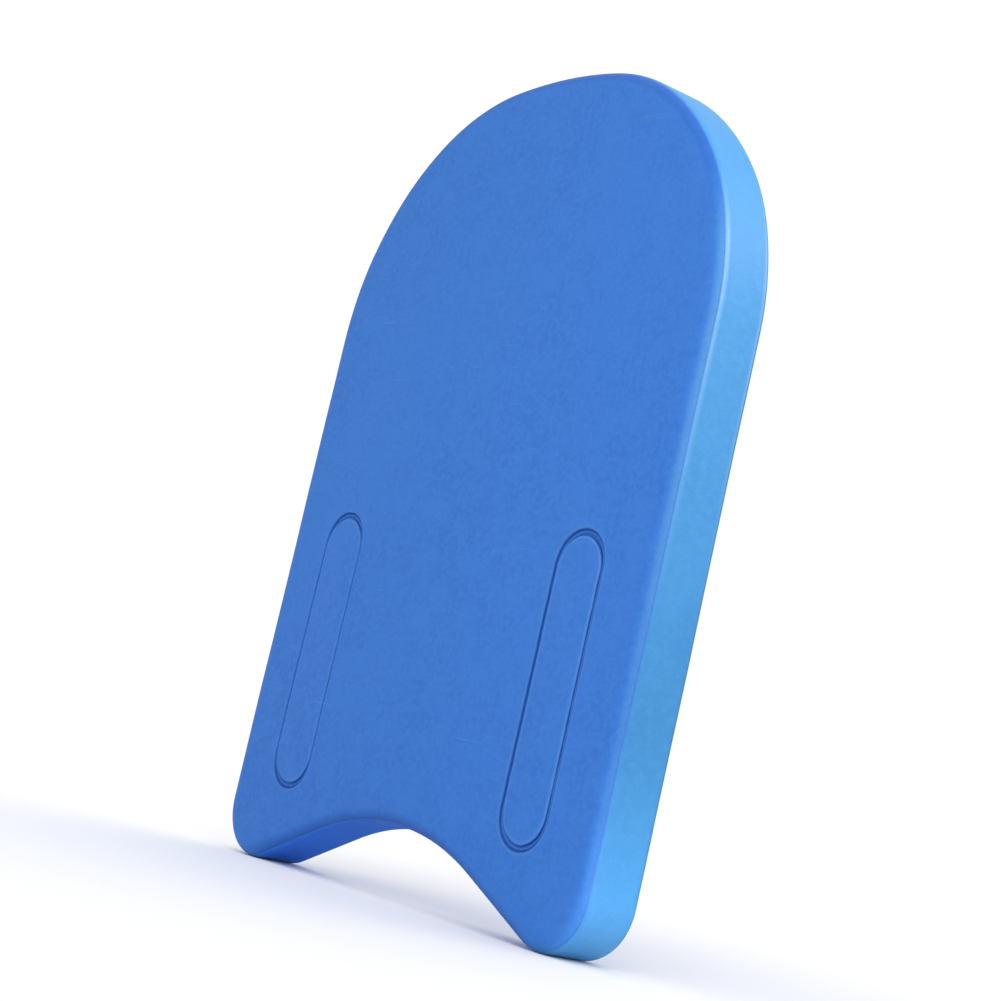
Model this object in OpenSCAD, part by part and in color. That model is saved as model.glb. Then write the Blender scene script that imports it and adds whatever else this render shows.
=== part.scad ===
// Kickboard float: a laminated foam slab with a domed top, straight parallel
// sides and a shallow arched notch between two rounded lobes at the bottom.
//
// The board stands on its lobes. +Z runs along its length from the lobes to
// the dome, X is its width and its front face looks along -Y. The origin is
// the middle of the footprint, on the surface that the lobes stand on.
//
// Depths are measured forwards from the board's middle plane.

/* [Board] */
// Overall width between the straight sides
board_w = 290; // [262:1:320]
// Overall length from the lobes to the crown of the dome
board_l = 390; // [360:1:440]
// Overall thickness through both skins
board_t = 31; // [26:0.5:45]
// Radius of the rounding along the front and back edges
edge_r = 6; // [4:0.5:8]

/* [Dome] */
// Radius of the shallow arc over the crown
crown_r = 297; // [200:1:340]
// Radius of the two shoulders between the crown and the sides
shoulder_r = 123; // [90:1:125]

/* [Lobes and notch] */
// Radius of the outer corner of each lobe
corner_r = 26; // [18:0.5:32]
// Radius of the inner half of each lobe
lobe_r = 30; // [22:1:40]
// Height of the notch above the lobes' lowest points
notch_depth = 33.5; // [26:0.5:36]
// Radius of the arch over the notch, between two straight flanks
notch_r = 162; // [120:1:170]

/* [Layers] */
// Thickness of the front and back skins
skin_t = 3; // [2:0.5:4]
// Thickness of the adhesive film under each skin
film_t = 0.3; // [0.2:0.05:0.5]

/* [Grip pads] */
// Length of each oval pocket in the front skin
pocket_l = 138; // [110:1:150]
// Width of each oval pocket in the front skin
pocket_w = 33.5; // [28:0.5:38]
// Depth of each oval pocket, which is also the thickness of its pad
pocket_d = 1.2; // [0.8:0.1:1.6]
// Distance of each pocket's centre from the middle of the board
pocket_x = 95; // [88:0.5:98]
// Height of each pocket's centre above the lobes' lowest points
pocket_z = 105.5; // [100:0.5:150]
// Gap between a pad and its pocket along the straight sides
pad_side_gap = 1.6; // [1:0.1:2.5]
// Gap between a pad and its pocket at the round ends
pad_end_gap = 2.6; // [2:0.1:4]

/* [Quality] */
// Largest angle between neighbouring points along the outline's curves
outline_step = 3; // [2:0.5:6]
// Steps in the quarter circle of the edge rounding
edge_steps = 8; // [4:1:12]
// Segments in a full circle
$fn = 96; // [48:12:180]

/* [Hidden] */

skin_blue = [0.25, 0.47, 0.81];
core_blue = [0.33, 0.64, 0.92];
film_blue = [0.22, 0.50, 0.85];

half_w = board_w / 2;
half_t = board_t / 2;

// Depths of the two sides of the front adhesive film
core_d = half_t - skin_t - film_t;
film_d = half_t - skin_t;

// The crown's centre, and the right shoulder's centre, placed so that the two
// arcs meet smoothly at crown_angle above the horizontal
crown_z = board_l - crown_r;
shoulder_x = half_w - shoulder_r;
shoulder_z = crown_z + sqrt(pow(crown_r - shoulder_r, 2) - pow(shoulder_x, 2));
crown_angle = atan2(shoulder_z - crown_z, shoulder_x);

// A lobe's outer corner and inner half meet at its lowest point, below lobe_x.
// The straight flank touches the lobe and the arch, both at notch_angle
lobe_x = half_w - corner_r;
notch_z = notch_depth - notch_r;
lobe_gap = norm([lobe_x, lobe_r - notch_z]);
notch_angle = atan2(lobe_r - notch_z, lobe_x) + acos(min(1, (lobe_r + notch_r) / lobe_gap));

// Lets a cut pass cleanly through a surface
over = 1;

// Depths at which the front and back edge roundings have a row of points
rounding_depths = [
    for (side = [-1, 1], i = [0:edge_steps])
        side * (half_t - edge_r + edge_r * sin(90 * (side < 0 ? edge_steps - i : i) / edge_steps))
];

// How far the edge rounding draws the outline in at a depth
function inset(d) =
    let (past = abs(d) - (half_t - edge_r))
    past <= 0 ? 0 : edge_r - sqrt(pow(edge_r, 2) - pow(min(past, edge_r), 2));

// Points along an arc, from one angle to another, in the board's X and Z
function arc(centre, r, from, to) =
    let (steps = ceil(abs(to - from) / outline_step))
    [for (i = [0:steps]) let (a = from + (to - from) * i / steps) centre + r * [cos(a), sin(a)]];

// The right half of the outline, drawn in by u, from crown to notch
function half_outline(u) = [
    each arc([0, crown_z], crown_r - u, 90, crown_angle),
    each arc([shoulder_x, shoulder_z], shoulder_r - u, crown_angle - outline_step, 0),
    each arc([lobe_x, corner_r], corner_r - u, 0, -90),
    each arc([lobe_x, lobe_r], lobe_r - u, -90 - outline_step, notch_angle - 180),
    each arc([0, notch_z], notch_r + u, notch_angle, 90)
];

// The whole outline, drawn in by u, clockwise seen from the front
function outline(u) =
    let (right = half_outline(u))
    concat(right, [for (i = [len(right) - 2:-1:1]) [-right[i].x, right[i].y]]);

// One layer of the board, as a closed skin of rings from one depth to another
module layer(d_low, d_high) {
    depths = [d_low, each [for (d = rounding_depths) if (d > d_low && d < d_high) d], d_high];
    count = len(outline(0));
    last = (len(depths) - 1) * count;
    points = [for (d = depths) each [for (p = outline(inset(d))) [p.x, -d, p.y]]];
    back = [for (i = [0:count - 1]) i];
    front = [for (i = [count - 1:-1:0]) last + i];
    rim = [
        for (row = [0:len(depths) - 2], i = [0:count - 1])
            let (a = row * count + i, b = row * count + (i + 1) % count)
            each [[a, a + count, b], [b, a + count, b + count]]
    ];
    polyhedron(points, concat([back, front], rim));
}

// An upright oval with round ends, from one depth to another
module oval(side, l, w, d_low, d_high) {
    translate([side * pocket_x, -d_low, pocket_z])
        rotate([90, 0, 0])
            linear_extrude(d_high - d_low) {
                square([w, l - w], center = true);
                for (end = [-1, 1])
                    translate([0, end * (l - w) / 2]) circle(w / 2);
            }
}

// Pale closed-cell foam slab, whose cut edge shows all round the board
module foam_core() {
    color(core_blue) layer(-core_d, core_d);
}

// Hot-melt film that bonds the front skin to the core
module front_bond_film() {
    color(film_blue) layer(core_d, film_d);
}

// Hot-melt film that bonds the back skin to the core
module back_bond_film() {
    color(film_blue) layer(-film_d, -core_d);
}

// Smooth dense foam sheet over the front, with two shallow oval pockets
module front_skin() {
    color(skin_blue) difference() {
        layer(film_d, half_t);
        for (side = [-1, 1])
            oval(side, pocket_l, pocket_w, half_t - pocket_d, half_t + over);
    }
}

// Smooth dense foam sheet over the back
module back_skin() {
    color(skin_blue) layer(-half_t, -film_d);
}

// Oval foam inlay that lies flush in its pocket, with a narrow gap round it
module grip_pad(side) {
    color(skin_blue)
        oval(side, pocket_l - 2 * pad_end_gap, pocket_w - 2 * pad_side_gap, half_t - pocket_d, half_t);
}

module left_grip_pad() {
    grip_pad(-1);
}

module right_grip_pad() {
    grip_pad(1);
}

foam_core();
front_bond_film();
back_bond_film();
front_skin();
back_skin();
left_grip_pad();
right_grip_pad();
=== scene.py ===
import math

import bpy
import bmesh
import numpy as np
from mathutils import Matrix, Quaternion, Vector, noise
from mathutils.geometry import delaunay_2d_cdt


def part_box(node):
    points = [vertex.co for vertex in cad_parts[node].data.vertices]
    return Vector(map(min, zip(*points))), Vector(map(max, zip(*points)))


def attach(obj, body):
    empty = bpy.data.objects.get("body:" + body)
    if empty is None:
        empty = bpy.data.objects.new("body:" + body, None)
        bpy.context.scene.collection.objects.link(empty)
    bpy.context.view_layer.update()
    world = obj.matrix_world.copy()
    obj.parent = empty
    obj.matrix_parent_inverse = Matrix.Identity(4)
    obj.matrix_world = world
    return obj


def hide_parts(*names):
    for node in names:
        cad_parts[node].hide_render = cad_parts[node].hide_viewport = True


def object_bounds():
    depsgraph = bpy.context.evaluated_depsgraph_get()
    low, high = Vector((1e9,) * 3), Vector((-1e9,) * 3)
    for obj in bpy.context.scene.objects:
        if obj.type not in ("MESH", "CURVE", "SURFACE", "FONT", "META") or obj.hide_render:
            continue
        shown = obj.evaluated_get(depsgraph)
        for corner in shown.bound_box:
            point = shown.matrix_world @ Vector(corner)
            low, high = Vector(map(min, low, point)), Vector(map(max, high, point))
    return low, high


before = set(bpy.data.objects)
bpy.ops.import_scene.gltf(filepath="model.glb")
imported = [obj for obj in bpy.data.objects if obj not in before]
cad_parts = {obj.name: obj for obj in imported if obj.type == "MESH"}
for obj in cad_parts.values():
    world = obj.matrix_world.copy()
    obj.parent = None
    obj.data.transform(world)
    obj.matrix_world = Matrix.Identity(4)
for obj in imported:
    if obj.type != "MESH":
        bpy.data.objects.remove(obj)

cad_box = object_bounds()
MM = 0.001

# Without a seed, noise_vector would start from the clock and give another shape each run
noise.seed_set(5)

# ---------------------------------------------------------------- camera
# Where the photograph was taken from, in the board's own frame: where the camera is, a point that it
# looks at, and how many degrees it is tilted sideways, as the board in the photograph leans back
CAMERA_AT = (0.80506, -0.55806, 0.06653)
CAMERA_AIM = (-0.00846, 0.01017, 0.19017)
CAMERA_ROLL = 12.9187
# Focal length and width of the sensor, in millimetres
LENS = 76.844
SENSOR = 36.0


def make_camera():
    """The camera, at the photograph's viewing angle."""
    camera = bpy.data.objects.new("camera", bpy.data.cameras.new("camera"))
    bpy.context.scene.collection.objects.link(camera)
    camera.data.sensor_fit = "HORIZONTAL"
    camera.data.sensor_width = SENSOR
    camera.data.lens = LENS
    camera.data.clip_start = 0.01
    camera.data.clip_end = 100
    level = (Vector(CAMERA_AIM) - Vector(CAMERA_AT)).to_track_quat("-Z", "Y")
    camera.rotation_mode = "QUATERNION"
    camera.rotation_quaternion = level @ Quaternion((0, 0, 1), math.radians(CAMERA_ROLL))
    camera.location = CAMERA_AT
    bpy.context.scene.camera = camera


# ---------------------------------------------------------------- outline
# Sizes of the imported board. The radii repeat those of its CAD source.
HALF_W = cad_box[1].x
HALF_T = cad_box[1].y
LENGTH = cad_box[1].z
CORE_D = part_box("foam_core")[1].y
FILM_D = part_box("back_bond_film")[1].y
EDGE_R = 6 * MM
CROWN_R = 297 * MM
SHOULDER_R = 123 * MM
CORNER_R = 26 * MM
LOBE_R = 30 * MM
NOTCH_DEPTH = 33.5 * MM
NOTCH_R = 162 * MM

CROWN_Z = LENGTH - CROWN_R
SHOULDER_X = HALF_W - SHOULDER_R
SHOULDER_Z = CROWN_Z + math.sqrt((CROWN_R - SHOULDER_R) ** 2 - SHOULDER_X**2)
CROWN_ANGLE = math.degrees(math.atan2(SHOULDER_Z - CROWN_Z, SHOULDER_X))
LOBE_X = HALF_W - CORNER_R
NOTCH_Z = NOTCH_DEPTH - NOTCH_R
LOBE_GAP = math.hypot(LOBE_X, LOBE_R - NOTCH_Z)
NOTCH_ANGLE = math.degrees(
    math.atan2(LOBE_R - NOTCH_Z, LOBE_X) + math.acos((LOBE_R + NOTCH_R) / LOBE_GAP)
)

# Distance between neighbouring points along the outline
STEP = 2.2 * MM

# Rounding of the layers' corners next to a glued seam, how far a sheet swells beside it, and how far
# the adhesive film is drawn in from the foam
CORE_CORNER = 0.22 * MM
SHEET_CORNER = 0.20 * MM
SHEET_BEAD = 0.06 * MM
FILM_SETBACK = 0.16 * MM

# Spacing of the points inside the sheets' faces, the pads' faces, the faces hidden under a sheet and
# the two sides of the adhesive films
SHOWN_GRID = 4 * MM
PAD_GRID = 3 * MM
HIDDEN_GRID = 12 * MM
FILM_GRID = 14 * MM


def arc(x, z, radius, start, end, full_radius):
    """Points along an arc in the board's X and Z, without the last one. full_radius sets how many."""
    steps = math.ceil(abs(math.radians(end - start)) * full_radius / STEP)
    angles = np.radians(np.linspace(start, end, steps + 1)[:-1])
    return np.stack([x + radius * np.cos(angles), z + radius * np.sin(angles)], 1)


def straight(start, end):
    """Points along a straight line in the board's X and Z, without the last one."""
    steps = math.ceil(math.dist(start, end) / STEP)
    return np.linspace(start, end, steps + 1)[:-1]


def outline(inset):
    """The board's outline drawn in by inset, clockwise from the crown as seen from the front."""
    side = HALF_W - inset
    turn = math.radians(NOTCH_ANGLE)
    flank = np.array((math.cos(turn), math.sin(turn)))
    flank_start = np.array((LOBE_X, LOBE_R)) - (LOBE_R - inset) * flank
    flank_end = np.array((0, NOTCH_Z)) + (NOTCH_R + inset) * flank
    right = np.concatenate([
        arc(0, CROWN_Z, CROWN_R - inset, 90, CROWN_ANGLE, CROWN_R),
        arc(SHOULDER_X, SHOULDER_Z, SHOULDER_R - inset, CROWN_ANGLE, 0, SHOULDER_R),
        straight((side, SHOULDER_Z), (side, CORNER_R)),
        arc(LOBE_X, CORNER_R, CORNER_R - inset, 0, -90, CORNER_R),
        arc(LOBE_X, LOBE_R, LOBE_R - inset, -90, NOTCH_ANGLE - 180, LOBE_R),
        straight(flank_start, flank_end),
        arc(0, NOTCH_Z, NOTCH_R + inset, NOTCH_ANGLE, 90, NOTCH_R),
        [[0, NOTCH_Z + NOTCH_R + inset]],
    ])
    left = right[1:-1][::-1] * (-1, 1)
    return np.concatenate([right, left])


def edge_inset(depth):
    """How far the edge rounding draws the outline in at a depth from the middle plane."""
    past = np.clip(abs(depth) - (HALF_T - EDGE_R), 0, EDGE_R)
    return EDGE_R - math.sqrt(EDGE_R**2 - past**2)


# How far a hand-held cutter strays from a pocket's or a pad's outline, and where each takes its
# pattern of straying from
CUTTER_WANDER = 0.22 * MM
POCKET_SEED = 3.0
PAD_SEED = 9.0


def oval(box, grow, seed):
    """A pad's or pocket's upright oval, grown by grow. box is its lowest and highest corner. Its line
    wanders a little, in a way that seed sets."""
    low, high = box
    x, z = (low.x + high.x) / 2, (low.z + high.z) / 2
    radius = (high.x - low.x) / 2
    straight = (high.z - low.z) / 2 - radius
    ends = np.radians(np.linspace(0, 180, 49))
    side = np.linspace(1, -1, 49)[1:-1] * straight
    r = radius + grow
    top = np.stack([x + r * np.cos(ends), z + straight + r * np.sin(ends)], 1)
    left = np.stack([np.full(len(side), x - r), z + side], 1)
    bottom = np.stack([x - r * np.cos(ends), z - straight - r * np.sin(ends)], 1)
    right = np.stack([np.full(len(side), x + r), z - side], 1)
    around = np.concatenate([top, left, bottom, right])
    away = around - (x, z)
    away[:, 1] -= np.clip(away[:, 1], -straight, straight)
    away /= np.linalg.norm(away, axis=1)[:, None]
    wander = [noise.noise(Vector((a * 130, seed, b * 130))) for a, b in around]
    return around + away * np.array(wander)[:, None] * CUTTER_WANDER


# ---------------------------------------------------------------- meshes
def inside(points, loop):
    """Which points lie inside a closed loop."""
    x, z = points[:, 0:1], points[:, 1:2]
    ax, az = loop[:, 0], loop[:, 1]
    bx, bz = np.roll(ax, -1), np.roll(az, -1)
    crosses = (az > z) != (bz > z)
    rise = np.where(bz == az, 1, bz - az)
    hit = x < (bx - ax) * (z - az) / rise + ax
    return (crosses & hit).sum(1) % 2 == 1


def nearest(points, loop):
    """Distance from each point to the nearest point of a loop."""
    gaps = points[:, None, :] - loop[None, :, :]
    return np.sqrt((gaps**2).sum(2).min(1))


class Shell:
    """The rings and filled faces of one closed mesh, with three values at each point: edge is 1 on a lip
    that is painted paler, partly as wear and partly as a painted highlight, seam is 1 along a glued
    seam, and the third is 1 where painted shade darkens the foam, in the grooves, under the notch and on
    the front rounding over the dome."""

    def __init__(self):
        self.points, self.faces, self.edge, self.seam, self.painted_shade = [], [], [], [], []

    def add(self, flat, depth, edge=0.0, seam=0.0, painted_shade=0.0):
        """Points at a depth in front of the middle plane, and their numbers."""
        first = len(self.points)
        depths = np.broadcast_to(depth, len(flat))
        self.points += [(x, -d, z) for (x, z), d in zip(flat, depths)]
        self.edge += list(np.broadcast_to(edge, len(flat)))
        self.seam += list(np.broadcast_to(seam, len(flat)))
        self.painted_shade += list(np.broadcast_to(painted_shade, len(flat)))
        return np.arange(first, len(self.points))

    def bridge(self, a, b):
        """Quads between two rings of as many points."""
        for i in range(len(a)):
            j = (i + 1) % len(a)
            self.faces.append((a[i], a[j], b[j], b[i]))

    def wall(self, rings):
        """A wall through rings of (flat points, depth, edge, seam, painted shade). Gives its first and
        last.
        """
        made = [self.add(*ring) for ring in rings]
        for a, b in zip(made, made[1:]):
            self.bridge(a, b)
        return made[0], made[-1]

    def fill(self, outer, holes, spacing, depth_at):
        """Triangles over what outer encloses, apart from the holes, on a grid of that spacing."""
        everything = np.array(self.points)[:, [0, 2]]
        loops = [everything[ring] for ring in [outer, *holes]]
        low, high = loops[0].min(0), loops[0].max(0)
        columns = np.arange(low[0], high[0], spacing)
        rows = np.arange(low[1], high[1], spacing * 0.87)
        grid = np.array([
            (x + spacing / 2 * (i % 2), z) for i, z in enumerate(rows) for x in columns
        ])
        keep = inside(grid, loops[0])
        for loop in loops[1:]:
            keep &= ~inside(grid, loop)
        grid = grid[keep]
        for loop in loops:
            grid = grid[nearest(grid, loop) > spacing * 0.62]
        flat = np.concatenate([*loops, grid])
        sides, first = [], 0
        for loop in loops:
            n = len(loop)
            sides += [(first + i, first + (i + 1) % n) for i in range(n)]
            first += n
        made = delaunay_2d_cdt([Vector(p) for p in flat], sides, [], 0, 1e-7)
        new = self.add(grid, depth_at(grid))
        number = np.concatenate([outer, *holes, new])
        source = [number[ids[0]] for ids in made[3]]
        corners = np.array([tuple(p) for p in made[0]])
        triangles = np.array([tuple(f) for f in made[2]])
        middles = corners[triangles].mean(1)
        keep = inside(middles, loops[0])
        for loop in loops[1:]:
            keep &= ~inside(middles, loop)
        self.faces += [tuple(source[i] for i in t) for t in triangles[keep]]

    def build(self, name):
        """The mesh as an object, gently uneven as real foam is, with its faces turned outwards."""
        mesh = bpy.data.meshes.new(name)
        moved = [Vector(p) + unevenness(p) for p in self.points]
        mesh.from_pydata(moved, [], [tuple(int(i) for i in f) for f in self.faces])
        for label, values in (("edge", self.edge), ("seam", self.seam), ("painted_shade", self.painted_shade)):
            layer = mesh.attributes.new(label, "FLOAT", "POINT")
            layer.data.foreach_set("value", np.array(values, np.float32))
        shape = bmesh.new()
        shape.from_mesh(mesh)
        bmesh.ops.recalc_face_normals(shape, faces=shape.faces)
        shape.to_mesh(mesh)
        shape.free()
        mesh.shade_smooth()
        mesh.set_sharp_from_angle(angle=math.radians(50))
        made = bpy.data.objects.new(name, mesh)
        bpy.context.scene.collection.objects.link(made)
        return made


def unevenness(point):
    """How far foam is off its true shape at a point. All layers share it, so that they stay together,
    and it fades out at the bottom, where the board stands."""
    x, _, z = point
    standing = min(1.0, max(0.0, z / (30 * MM)))
    slow = noise.noise_vector(Vector((x * 11, 3.1, z * 11))) * (0.35 * MM)
    quick = noise.noise_vector(Vector((x * 37, 7.7, z * 37))) * (0.10 * MM)
    return (slow + quick) * standing


def round_rim(depth, towards, size):
    """Four rings that round off a layer's corner at a depth. towards is 1 if the layer lies further
    forward. Returns (extra inset, depth) pairs, from the flat side to the rim."""
    return [
        (size * 1.30, depth),
        (size * 0.45, depth + towards * size * 0.08),
        (size * 0.12, depth + towards * size * 0.40),
        (0.0, depth + towards * size),
    ]


def under_notch(flat):
    """1 at points of the outline that face down over the notch, and 0 at the others."""
    towards_middle = (LOBE_X - abs(flat[:, 0])) / (14 * MM)
    low_down = (70 * MM - flat[:, 1]) / (20 * MM)
    return np.clip(towards_middle, 0, 1) * np.clip(low_down, 0, 1)


def below_shoulders(flat):
    """1 at the outline's points below the shoulders, fading to 0 over the dome."""
    return np.clip((335 * MM - flat[:, 1]) / (35 * MM), 0, 1)


def wear_and_highlight_amount(flat, depth):
    """How much paler the outline's points are at a depth: partly wear, partly a painted highlight where
    the lamps catch the rounding. The core's corner is paler most at the upper end of the sides and the
    front sheet's all along them, both fading downwards, and the outer corners of the lobes, where the
    board stands, are painted a little paler to lift the shade on them."""
    past = np.clip(abs(depth) - (HALF_T - EDGE_R), 0, EDGE_R)
    lean = math.degrees(math.asin(past / EDGE_R))
    in_core = abs(depth) <= CORE_D
    middle, width = (20, 14) if in_core else (39, 21)
    # How much paler the rounding is painted: partly wear, partly a painted highlight where the lamps
    # catch it, faded with height below
    lip = math.exp(-(((lean - middle) / width) ** 2))
    if in_core:
        lip *= np.clip((flat[:, 1] - 150 * MM) / (140 * MM), 0, 1)
    elif depth > 0:
        lip *= 0.35 + 0.50 * np.clip((flat[:, 1] - 60 * MM) / (140 * MM), 0, 1)
    handled_and_lit = below_shoulders(flat) * (1 - under_notch(flat))
    # Partly scuffing where the board stands, partly painted light that lifts the shade on these
    # downward-facing corners
    stood_on_and_lit = np.clip((34 * MM - flat[:, 1]) / (22 * MM), 0, 1)
    outer = np.clip((abs(flat[:, 0]) - LOBE_X) / (12 * MM), 0, 1)
    return np.maximum(np.minimum(lip * handled_and_lit, 1), 0.15 * stood_on_and_lit * outer)


def rim_rings(low, high, size, seam_low, seam_high, bead=0.0):
    """Rings round a layer of the board from one depth to another, with corners rounded by size next to
    its seams. bead is how far the layer's edge swells beside a seam."""
    steps = [*np.linspace(-HALF_T, -HALF_T + EDGE_R, 15), *np.linspace(-9, 9, 7) * MM]
    steps = sorted({*steps, *[-s for s in steps]})
    pairs = []
    if seam_low:
        pairs += round_rim(low, 1, size)
    else:
        pairs += [(0.0, low)]
    pairs += [(0.0, d) for d in steps if low + size * 1.2 < d < high - size * 1.2]
    if seam_high:
        pairs += round_rim(high, -1, size)[::-1]
    else:
        pairs += [(0.0, high)]
    rings = []
    for extra, depth in pairs:
        gap = min(
            abs(depth - low) if seam_low else 1.0,
            abs(depth - high) if seam_high else 1.0,
        )
        swell = bead * math.exp(-(((gap - 1.0 * MM) / (0.5 * MM)) ** 2))
        near = math.exp(-((gap / (1.2 * MM)) ** 2))
        turn = edge_inset(depth) / EDGE_R
        flat = outline(edge_inset(depth) + extra - swell)
        # The seam at the back is cleaner than the one at the front
        if depth < 0:
            near *= 0.3
        # Painted shade: the front sheet's rounding is darkened over the dome, where the lamps light it
        # brighter than the face
        dome_shade = 0.0
        if depth > CORE_D:
            dome_shade = 0.70 * (1 - below_shoulders(flat)) * (1 - turn**2)
        # Painted shade on the downward faces under the notch, where little light reaches, and on the
        # rounding over the dome
        painted_shade = np.maximum(under_notch(flat) * (1 - turn), dome_shade)
        rings.append((flat, depth, wear_and_highlight_amount(flat, depth), near, painted_shade))
    return rings


def core_slab():
    """The pale foam slab in the middle."""
    shell = Shell()
    back, front = shell.wall(rim_rings(-CORE_D, CORE_D, CORE_CORNER, True, True))
    shell.fill(back, [], HIDDEN_GRID, lambda p: -CORE_D)
    shell.fill(front, [], HIDDEN_GRID, lambda p: CORE_D)
    return shell.build("core_slab")


def bond_film(name, low, high):
    """A film of adhesive, drawn in a little from the edge of the foam."""
    shell = Shell()
    bulge = 0.06 * MM
    rings = [
        (outline(edge_inset(depth) + FILM_SETBACK - out), depth, 0.0, 1.0)
        for depth, out in ((low, 0.0), ((low + high) / 2, bulge), (high, 0.0))
    ]
    first, last = shell.wall(rings)
    shell.fill(first, [], FILM_GRID, lambda p: low)
    shell.fill(last, [], FILM_GRID, lambda p: high)
    return shell.build(name)


def back_sheet():
    """The smooth foam sheet over the back."""
    shell = Shell()
    rings = rim_rings(-HALF_T, -FILM_D, SHEET_CORNER, False, True, SHEET_BEAD)
    outside, seam = shell.wall(rings)
    shell.fill(outside, [], SHOWN_GRID, lambda p: -HALF_T)
    shell.fill(seam, [], HIDDEN_GRID, lambda p: -FILM_D)
    return shell.build("back_sheet")


# Gaps between a pad and its pocket along the straight sides and at the round ends
POCKET_GAPS = (1.6 * MM, 2.6 * MM)


def pocket_box(pad):
    """The lowest and highest corner of the pocket round a pad."""
    low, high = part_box(pad)
    side, end = POCKET_GAPS
    return low - Vector((side, 0, end)), high + Vector((side, 0, end))


def round_end(box, flat):
    """1 at points round the two ends of a pocket, fading to 0 along its straight sides."""
    low, high = box
    past = abs(flat[:, 1] - (low.z + high.z) / 2) - (high.z - low.z - high.x + low.x) / 2
    return np.clip(past / (9 * MM), 0, 1)


def pocket_rings(pad, glue, groove_shade):
    """Rings from the front face down into the pocket of a pad. A low ridge stands on the pocket's floor
    round its ends. Along its straight sides, glue is how high the adhesive stands in the groove, and the
    third argument is how much painted shade darkens the groove, which also sets how far its lips are
    painted paler all round."""
    box = pocket_box(pad)
    floor = -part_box(pad)[1].y
    under_pad = -2.0
    # Columns: how far the ring grows out from the pocket's oval, its depth, how much paler it is painted
    # (wear and a painted highlight on the lips), and painted shade in the groove
    profile = [
        (1.80, HALF_T, 0.0, 0.0),
        (1.20, HALF_T + 0.05 * MM, 0.3, 0.0),
        (0.70, HALF_T + 0.06 * MM, 0.5, 0.1),
        (0.32, HALF_T - 0.03 * MM, 0.2, 0.3),
        (0.10, HALF_T - 0.15 * MM, 0.0, 0.6),
        (0.00, HALF_T - 0.26 * MM, 0.0, 0.9),
        (0.00, floor + 0.55 * MM, 0.0, 1.0),
        (-0.12, floor + 0.20 * MM, 0.0, 1.0),
        (-0.55, floor, 0.0, 1.0),
        (-0.90, floor + 0.45 * MM, 0.0, 0.5),
        (-1.30, floor + 0.70 * MM, 0.0, 0.1),
        (-1.75, floor + 0.50 * MM, 0.0, 0.2),
        (-2.10, floor, 0.0, 0.9),
    ]
    rings = []
    for grow, depth, worn_and_highlit, painted_shade in profile:
        flat = oval(box, grow * MM, POCKET_SEED)
        end = round_end(box, flat)
        side_depth = depth if grow < under_pad else max(depth, floor + glue)
        depth = depth * end + side_depth * (1 - end)
        painted_shade *= end + groove_shade * (1 - end)
        rings.append((flat, depth, worn_and_highlit * (0.4 + 0.6 * groove_shade), 0.0, painted_shade))
    return rings, floor


def front_sheet():
    """The smooth foam sheet over the front, with two shallow oval pockets. The left groove is the fuller
    one and has less painted shade, so it is paler."""
    shell = Shell()
    rings = rim_rings(FILM_D, HALF_T, SHEET_CORNER, True, False, SHEET_BEAD)
    seam, outside = shell.wall(rings)
    lips = []
    # The third number is how much painted shade darkens each groove along its sides
    for pad, glue, groove_shade in (("left_grip_pad", 0.65 * MM, 0.25), ("right_grip_pad", 0.20 * MM, 1.0)):
        rings, floor = pocket_rings(pad, glue, groove_shade)
        top, bottom = shell.wall(rings)
        shell.fill(bottom, [], SHOWN_GRID, lambda p: floor)
        lips.append(top)
    shell.fill(outside, lips, SHOWN_GRID, lambda p: HALF_T)
    shell.fill(seam, [], HIDDEN_GRID, lambda p: FILM_D)
    return shell.build("front_sheet")


def grip_pad(name, node, swell, wear_and_highlight):
    """An oval inlay with a rounded rim and a slight crown. swell is how far its foam spreads into the
    groove along its straight sides, and the last argument is how much paler its rim is painted, partly
    as wear and partly as a painted highlight."""
    shell = Shell()
    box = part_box(node)
    outer = (box[0] - Vector((swell, 0, 0)), box[1] + Vector((swell, 0, 0)))
    floor, top = -box[1].y, -box[0].y
    # Columns: how far the ring grows out from the pad's oval, its depth, how much paler it is painted
    # (wear and a painted highlight on the rim), and painted shade on the wall down in the groove
    profile = [
        (-0.60, floor, 0.0, 1.0),
        (-0.36, floor + 0.08 * MM, 0.0, 1.0),
        (-0.30, floor + 0.25 * MM, 0.0, 1.0),
        (-0.32, top - 0.62 * MM, 0.0, 1.0),
        (-0.42, top - 0.36 * MM, 0.2, 0.9),
        (-0.64, top - 0.16 * MM, 0.9, 0.2),
        (-1.04, top - 0.03 * MM, 1.0, 0.0),
        (-1.45, top + 0.04 * MM, 0.7, 0.0),
        (-2.00, top + 0.05 * MM, 0.2, 0.0),
        (-2.70, top + 0.04 * MM, 0.0, 0.0),
    ]
    rings = [
        (oval(outer, grow * MM, PAD_SEED), depth, worn_and_highlit * wear_and_highlight, 0.0, painted_shade)
        for grow, depth, worn_and_highlit, painted_shade in profile
    ]
    bottom, rim = shell.wall(rings)
    rim_points = np.array(shell.points)[rim][:, [0, 2]]

    def crown(points):
        rise = np.clip(nearest(points, rim_points) / (7 * MM), 0, 1)
        return top + 0.04 * MM + 0.10 * MM * rise * (2 - rise)

    shell.fill(bottom, [], SHOWN_GRID, lambda p: floor)
    shell.fill(rim, [], PAD_GRID, crown)
    return shell.build(name)


# ---------------------------------------------------------------- materials
def add(tree, kind, inputs=None, **settings):
    """A shader node. Each input is a value, or a socket to link."""
    made = tree.nodes.new(kind)
    for key, value in settings.items():
        setattr(made, key, value)
    for key, value in (inputs or {}).items():
        if isinstance(value, bpy.types.NodeSocket):
            tree.links.new(value, made.inputs[key])
        else:
            made.inputs[key].default_value = value
    return made


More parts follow.
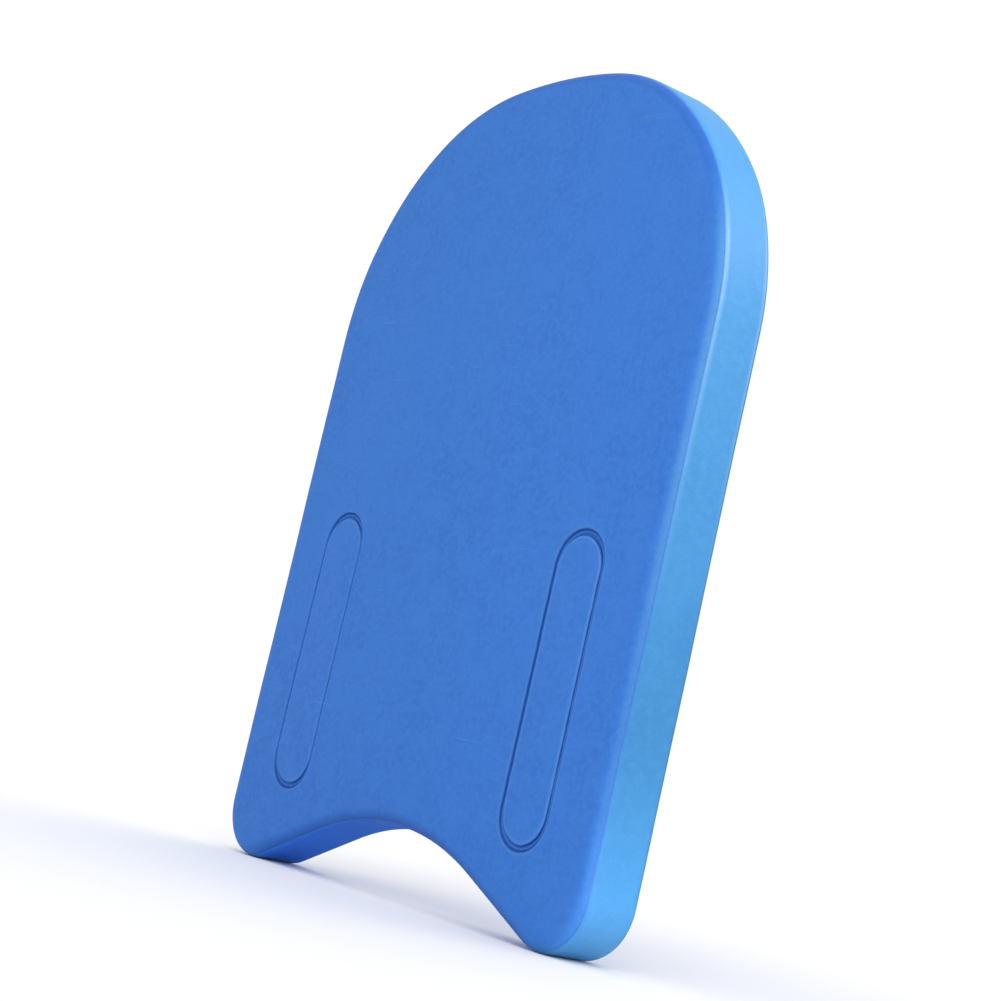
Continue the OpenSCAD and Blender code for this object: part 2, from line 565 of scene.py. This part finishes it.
def blend_colours(tree, factor, first, second):
    """The colour between two, where factor is a number or a socket."""
    made = tree.nodes.new("ShaderNodeMix")
    made.data_type = "RGBA"
    for index, value in ((0, factor), (6, first), (7, second)):
        if isinstance(value, bpy.types.NodeSocket):
            tree.links.new(value, made.inputs[index])
        else:
            made.inputs[index].default_value = value
    return made.outputs[2]


def maths(tree, operation, *values):
    """One Math node's result."""
    made = tree.nodes.new("ShaderNodeMath")
    made.operation = operation
    for index, value in enumerate(values):
        if isinstance(value, bpy.types.NodeSocket):
            tree.links.new(value, made.inputs[index])
        else:
            made.inputs[index].default_value = value
    return made.outputs[0]


def span(tree, value, low, high, to_low=0.0, to_high=1.0):
    """value brought smoothly from one range into another."""
    return add(
        tree, "ShaderNodeMapRange",
        {"Value": value, "From Min": low, "From Max": high, "To Min": to_low, "To Max": to_high},
        interpolation_type="SMOOTHSTEP",
    ).outputs[0]


def noise_at(tree, where, scale, detail=2.0, roughness=0.5, distortion=0.0):
    """A noise texture's value."""
    return add(
        tree, "ShaderNodeTexNoise",
        {"Vector": where, "Scale": scale, "Detail": detail, "Roughness": roughness,
         "Distortion": distortion},
    ).outputs[0]


def cells_at(tree, where, scale):
    """Distance from the nearest middle of the cells of a foam."""
    return add(
        tree, "ShaderNodeTexVoronoi", {"Vector": where, "Scale": scale, "Randomness": 1.0},
        feature="F1",
    ).outputs["Distance"]


def point_value(tree, label):
    """One of the three values that each point of a Shell carries."""
    return add(tree, "ShaderNodeAttribute", attribute_name=label).outputs["Fac"]


def stretched(tree, where, turn, scale):
    """Coordinates turned and stretched, for marks that run one way."""
    return add(
        tree, "ShaderNodeMapping",
        {"Vector": where, "Rotation": tuple(math.radians(a) for a in turn), "Scale": scale},
    ).outputs[0]


def start(name):
    """A new material's tree, its shader and its object coordinates."""
    material = bpy.data.materials.new(name)
    material.use_nodes = True
    tree = material.node_tree
    shader = tree.nodes["Principled BSDF"]
    where = add(tree, "ShaderNodeTexCoord").outputs["Object"]
    return material, tree, shader, where


def set_surface(tree, shader, colour, rough, height, strength, distance):
    """Puts a colour, a roughness and a fine relief on a shader. distance is the relief's full height."""
    relief = add(
        tree, "ShaderNodeBump", {"Height": height, "Strength": strength, "Distance": distance}
    )
    tree.links.new(colour, shader.inputs["Base Color"])
    tree.links.new(rough, shader.inputs["Roughness"])
    tree.links.new(relief.outputs[0], shader.inputs["Normal"])


def rgb(red, green, blue):
    """A colour as a shader socket takes it."""
    return (red, green, blue, 1.0)


def sheet_material(name, base, pale, dark, worn_and_highlit, stain_and_shade, pore_size, smoothest):
    """Smooth closed-cell foam sheet: faint mottling, fine pores, light scuffs, lips painted paler as
    wear and as a painted highlight, and painted shade in grooves and under the notch.
    """
    material, tree, shader, where = start(name)
    clouds = noise_at(tree, where, 8.0, 3.0, 0.55)
    patches = noise_at(tree, where, 75.0, 4.0, 0.6)
    mottle = noise_at(tree, where, 330.0, 2.0, 0.6)
    grain = noise_at(tree, where, 900.0, 3.0, 0.65)
    pores = cells_at(tree, where, 1 / pore_size)

    long_marks = noise_at(tree, stretched(tree, where, (0, 38, 0), (26, 26, 1500)), 1.0, 2.0, 0.5)
    cross_marks = noise_at(tree, stretched(tree, where, (0, -63, 0), (19, 19, 1100)), 1.0, 2.0, 0.5)
    scuffed = span(tree, noise_at(tree, where, 14.0, 2.0, 0.5), 0.50, 0.66)
    long_marks = span(tree, long_marks, 0.69, 0.75)
    cross_marks = span(tree, cross_marks, 0.70, 0.76)
    scratches = maths(tree, "MULTIPLY", maths(tree, "MAXIMUM", long_marks, cross_marks), scuffed)

    edge = point_value(tree, "edge")
    seam = point_value(tree, "seam")
    painted_shade = point_value(tree, "painted_shade")
    broken = span(tree, noise_at(tree, where, 240.0, 4.0, 0.7), 0.35, 0.75)
    wear_and_highlight = maths(tree, "MULTIPLY", edge, maths(tree, "MULTIPLY_ADD", broken, 0.3, 0.7))

    colour = blend_colours(tree, span(tree, clouds, 0.30, 0.70), dark, base)
    colour = blend_colours(tree, span(tree, patches, 0.35, 0.70, 0.0, 0.75), colour, pale)
    colour = blend_colours(tree, span(tree, mottle, 0.30, 0.70, 0.0, 0.80), colour, pale)
    colour = blend_colours(tree, span(tree, grain, 0.30, 0.70, 0.0, 0.40), colour, dark)
    colour = blend_colours(tree, span(tree, pores, 0.0, 0.45, 0.16, 0.0), colour, dark)
    # Lips painted paler, partly as wear and partly as a painted highlight
    colour = blend_colours(tree, maths(tree, "MULTIPLY", wear_and_highlight, 0.75), colour, worn_and_highlit)
    colour = blend_colours(tree, maths(tree, "MULTIPLY", scratches, 0.45), colour, worn_and_highlit)
    colour = blend_colours(tree, maths(tree, "MULTIPLY", seam, 0.08), colour, stain_and_shade)
    # Painted shade in the grooves, under the notch and on the front rounding over the dome
    colour = blend_colours(tree, maths(tree, "MULTIPLY", painted_shade, 0.75), colour, stain_and_shade)

    rough = maths(tree, "MULTIPLY_ADD", patches, 0.16, smoothest)
    rough = maths(tree, "MULTIPLY_ADD", grain, 0.10, rough)
    rough = maths(tree, "MULTIPLY_ADD", wear_and_highlight, 0.10, rough)
    rough = maths(tree, "MULTIPLY_ADD", scratches, -0.12, rough)

    height = maths(tree, "MULTIPLY", span(tree, pores, 0.0, 0.5), 0.35)
    height = maths(tree, "MULTIPLY_ADD", grain, 0.30, height)
    height = maths(tree, "MULTIPLY_ADD", patches, 0.9, height)
    height = maths(tree, "MULTIPLY_ADD", scratches, -0.5, height)
    set_surface(tree, shader, colour, rough, height, 0.35, 0.18 * MM)
    shader.inputs["Specular IOR Level"].default_value = 0.20
    shader.inputs["IOR"].default_value = 1.45
    return material


def core_material(name, base, pale, dark, painted_shade, worn_and_highlit):
    """Cut closed-cell foam: fine cells, faint marks of the blade across the edge and soft mottling, with
    painted shade under the notch and a corner painted paler, partly as wear and partly as a painted
    highlight.
    """
    material, tree, shader, where = start(name)
    clouds = noise_at(tree, where, 16.0, 3.0, 0.6)
    mottle = noise_at(tree, where, 260.0, 3.0, 0.6)
    grain = noise_at(tree, where, 1500.0, 2.0, 0.6)
    cells = cells_at(tree, where, 1250.0)
    big_cells = cells_at(tree, where, 620.0)
    cut = noise_at(tree, stretched(tree, where, (0, 0, 0), (420, 9, 420)), 1.0, 3.0, 0.55)
    edge = point_value(tree, "edge")
    seam = point_value(tree, "seam")
    under = point_value(tree, "painted_shade")

    colour = blend_colours(tree, span(tree, clouds, 0.30, 0.70), dark, base)
    colour = blend_colours(tree, span(tree, mottle, 0.35, 0.80, 0.0, 0.55), colour, pale)
    colour = blend_colours(tree, span(tree, cut, 0.55, 0.80, 0.0, 0.30), colour, pale)
    colour = blend_colours(tree, span(tree, cells, 0.0, 0.5, 0.30, 0.0), colour, dark)
    open_cell = span(tree, big_cells, 0.10, 0.28, 1.0, 0.0)
    some = span(tree, noise_at(tree, where, 520.0, 1.0, 0.5), 0.52, 0.68)
    pits = maths(tree, "MULTIPLY", open_cell, some)
    # This dark blue darkens the open pits and the glued seam, and below it serves as painted shade
    colour = blend_colours(tree, maths(tree, "MULTIPLY", pits, 0.30), colour, painted_shade)
    colour = blend_colours(tree, maths(tree, "MULTIPLY", seam, 0.20), colour, painted_shade)
    # Painted shade on the faces under the notch
    colour = blend_colours(tree, maths(tree, "MULTIPLY", under, 0.92), colour, painted_shade)
    # Painted highlight on the corner's rounding and painted light on the lobes' outer corners, mixed
    # with wear
    colour = blend_colours(tree, maths(tree, "MULTIPLY", edge, 0.80), colour, worn_and_highlit)

    rough = maths(tree, "MULTIPLY_ADD", mottle, 0.18, 0.50)
    rough = maths(tree, "MULTIPLY_ADD", pits, 0.15, rough)
    rough = maths(tree, "MULTIPLY_ADD", edge, -0.28, rough)
    rough = maths(tree, "MULTIPLY_ADD", under, 0.25, rough)

    height = maths(tree, "MULTIPLY", cells, 0.55)
    height = maths(tree, "MULTIPLY_ADD", pits, -0.6, height)
    height = maths(tree, "MULTIPLY_ADD", cut, 0.8, height)
    height = maths(tree, "MULTIPLY_ADD", mottle, 0.9, height)
    height = maths(tree, "MULTIPLY_ADD", grain, 0.3, height)
    set_surface(tree, shader, colour, rough, height, 0.40, 0.25 * MM)
    shader.inputs["Specular IOR Level"].default_value = 0.34
    shader.inputs["IOR"].default_value = 1.45
    return material


def film_material(name, base, pale):
    """Hot-melt adhesive squeezed between the layers: a little glossy, in uneven beads."""
    material, tree, shader, where = start(name)
    beads = noise_at(tree, where, 420.0, 3.0, 0.6)
    runs = noise_at(tree, where, 60.0, 2.0, 0.5)
    colour = blend_colours(tree, span(tree, beads, 0.30, 0.75), base, pale)
    colour = blend_colours(tree, span(tree, runs, 0.40, 0.80, 0.0, 0.4), colour, base)
    rough = maths(tree, "MULTIPLY_ADD", beads, 0.25, 0.25)
    set_surface(tree, shader, colour, rough, beads, 0.50, 0.20 * MM)
    shader.inputs["Specular IOR Level"].default_value = 0.40
    return material


def floor_material(name):
    """Matt studio paper, with a very faint tooth."""
    material, tree, shader, where = start(name)
    tooth = noise_at(tree, where, 300.0, 2.0, 0.5)
    colour = blend_colours(tree, tooth, rgb(0.890, 0.893, 0.905), rgb(0.920, 0.923, 0.935))
    tree.links.new(colour, shader.inputs["Base Color"])
    shader.inputs["Roughness"].default_value = 0.9
    shader.inputs["Specular IOR Level"].default_value = 0.1
    return material


# ---------------------------------------------------------------- studio
def backdrop_material(name):
    """Overexposed white paper, shaded very slightly from place to place."""
    material, tree, shader, where = start(name)
    glow = span(tree, noise_at(tree, where, 0.05, 1.0, 0.5), 0.0, 1.0, 1.04, 1.10)
    emission = add(tree, "ShaderNodeEmission", {"Color": rgb(1.0, 1.0, 1.0), "Strength": glow})
    tree.links.new(emission.outputs[0], tree.nodes["Material Output"].inputs["Surface"])
    tree.nodes.remove(shader)
    return material


def make_stage():
    """A broad pale floor, which the board stands on, and a white backdrop all round it, which only
    the camera sees. Gives the floor."""
    ring = [(30 * math.cos(a), 30 * math.sin(a), 0) for a in np.radians(range(0, 360, 6))]
    mesh = bpy.data.meshes.new("floor")
    mesh.from_pydata(ring, [], [tuple(range(len(ring)))])
    mesh.materials.append(floor_material("floor_paper"))
    floor = bpy.data.objects.new("floor", mesh)

    mesh = bpy.data.meshes.new("backdrop")
    shape = bmesh.new()
    bmesh.ops.create_uvsphere(shape, u_segments=48, v_segments=24, radius=28)
    shape.to_mesh(mesh)
    shape.free()
    mesh.materials.append(backdrop_material("backdrop_paper"))
    backdrop = bpy.data.objects.new("backdrop", mesh)
    backdrop.visible_diffuse = False
    backdrop.visible_glossy = False
    backdrop.visible_transmission = False
    backdrop.visible_shadow = False

    for piece in (floor, backdrop):
        bpy.context.scene.collection.objects.link(piece)
    return floor


def hang(name, lamp, at, towards):
    """Puts a lamp in the scene."""
    holder = bpy.data.objects.new(name, lamp)
    holder.location = at
    holder.rotation_euler = (Vector(towards) - Vector(at)).to_track_quat("-Z", "Y").to_euler()
    holder.visible_camera = False
    bpy.context.scene.collection.objects.link(holder)
    return holder


def flag(holder, floor, state):
    """Keeps a lamp's light off the floor if state is EXCLUDE, or on it alone if it is INCLUDE."""
    flagged = bpy.data.collections.new(holder.name + "_flag")
    flagged.objects.link(floor)
    flagged.collection_objects[0].light_linking.link_state = state
    holder.light_linking.receiver_collection = flagged


def soft_box(name, at, towards, size, spread, power, floor):
    """A rectangular soft box, with a flag that keeps its light off the floor."""
    lamp = bpy.data.lights.new(name, "AREA")
    lamp.shape = "RECTANGLE"
    lamp.size, lamp.size_y = size
    lamp.spread = math.radians(spread)
    lamp.energy = power
    flag(hang(name, lamp, at, towards), floor, "EXCLUDE")


def distant_light(name, come_from, spread, strength, floor, state):
    """Soft light from a broad patch of sky, on the floor alone or on everything else, as flag says."""
    lamp = bpy.data.lights.new(name, "SUN")
    lamp.angle = math.radians(spread)
    lamp.energy = strength
    flag(hang(name, lamp, come_from, (0, 0, 0)), floor, state)


def make_world(strength):
    """Even white light from all round."""
    world = bpy.data.worlds.new("studio")
    bpy.context.scene.world = world
    world.use_nodes = True
    sky = world.node_tree.nodes["Background"]
    sky.inputs["Color"].default_value = rgb(1.0, 1.0, 1.0)
    sky.inputs["Strength"].default_value = strength


# ---------------------------------------------------------------- the board
make_camera()
bpy.context.scene.view_settings.view_transform = "Standard"

# Blues of the smooth foam that the sheets and pads are cut from
SHEET_BLUE = rgb(0.0230, 0.128, 0.446)
SHEET_PALE = rgb(0.0315, 0.149, 0.482)
SHEET_DARK = rgb(0.0170, 0.109, 0.407)
# Dark blue for the glued seam's stain and for painted shade in the grooves, under the notch and over the
# dome
SHEET_STAIN_AND_SHADE = rgb(0.010, 0.060, 0.290)
SKIN = sheet_material(
    "skin_foam", SHEET_BLUE, SHEET_PALE, SHEET_DARK,
    worn_and_highlit=rgb(0.074, 0.218, 0.370), stain_and_shade=SHEET_STAIN_AND_SHADE, pore_size=1.1 * MM, smoothest=0.46,
)
PAD = sheet_material(
    "pad_foam", SHEET_BLUE, SHEET_PALE, SHEET_DARK,
    worn_and_highlit=rgb(0.080, 0.225, 0.500), stain_and_shade=SHEET_STAIN_AND_SHADE, pore_size=0.8 * MM, smoothest=0.42,
)
CORE = core_material(
    "core_foam", base=rgb(0.031, 0.181, 0.403), pale=rgb(0.042, 0.210, 0.444),
    dark=rgb(0.026, 0.162, 0.379), painted_shade=rgb(0.010, 0.115, 0.540), worn_and_highlit=rgb(0.115, 0.275, 0.470),
)
FILM = film_material("bond_film", rgb(0.018, 0.120, 0.410), rgb(0.027, 0.145, 0.450))

BOARD = [
    (core_slab(), "foam_core", CORE, "core_foam", 1.0),
    (bond_film("front_film", CORE_D, FILM_D), "front_bond_film", FILM, "bond_film", None),
    (bond_film("back_film", -FILM_D, -CORE_D), "back_bond_film", FILM, "bond_film", None),
    (front_sheet(), "front_skin", SKIN, "skin_foam", 1.0),
    (back_sheet(), "back_skin", SKIN, "skin_foam", 1.0),
    (grip_pad("left_pad", "left_grip_pad", 0.75 * MM, 0.4), "left_grip_pad", PAD, "pad_foam", 1.0),
    (grip_pad("right_pad", "right_grip_pad", 0.0, 0.65), "right_grip_pad", PAD, "pad_foam", 1.0),
]
for piece, node, material, slot, fill in BOARD:
    piece.data.materials.append(material)
    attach(piece, "root")
    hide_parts(node)

paper = make_stage()
make_world(1.02)
distant_light("back_light", (-1.2, 1.4, 2.2), 70, 0.40, paper, "EXCLUDE")
distant_light("floor_light", (0.8, -0.56, 0.8), 50, 0.75, paper, "INCLUDE")
soft_box("high_key", (0.56, 0.30, 0.84), (0.11, 0.0, 0.30), (0.30, 0.30), 120, 1.75, paper)
soft_box("key", (0.62, -0.05, 0.50), (0.12, 0.0, 0.27), (0.07, 0.26), 120, 0.57, paper)
soft_box("low_fill", (0.50, 0.00, 0.030), (0.13, 0.0, 0.0), (0.24, 0.04), 30, 0.07, paper)
soft_box("front_fill", (0.55, -0.70, 0.36), (0.0, 0.0, 0.16), (0.40, 0.40), 140, 2.05, paper)
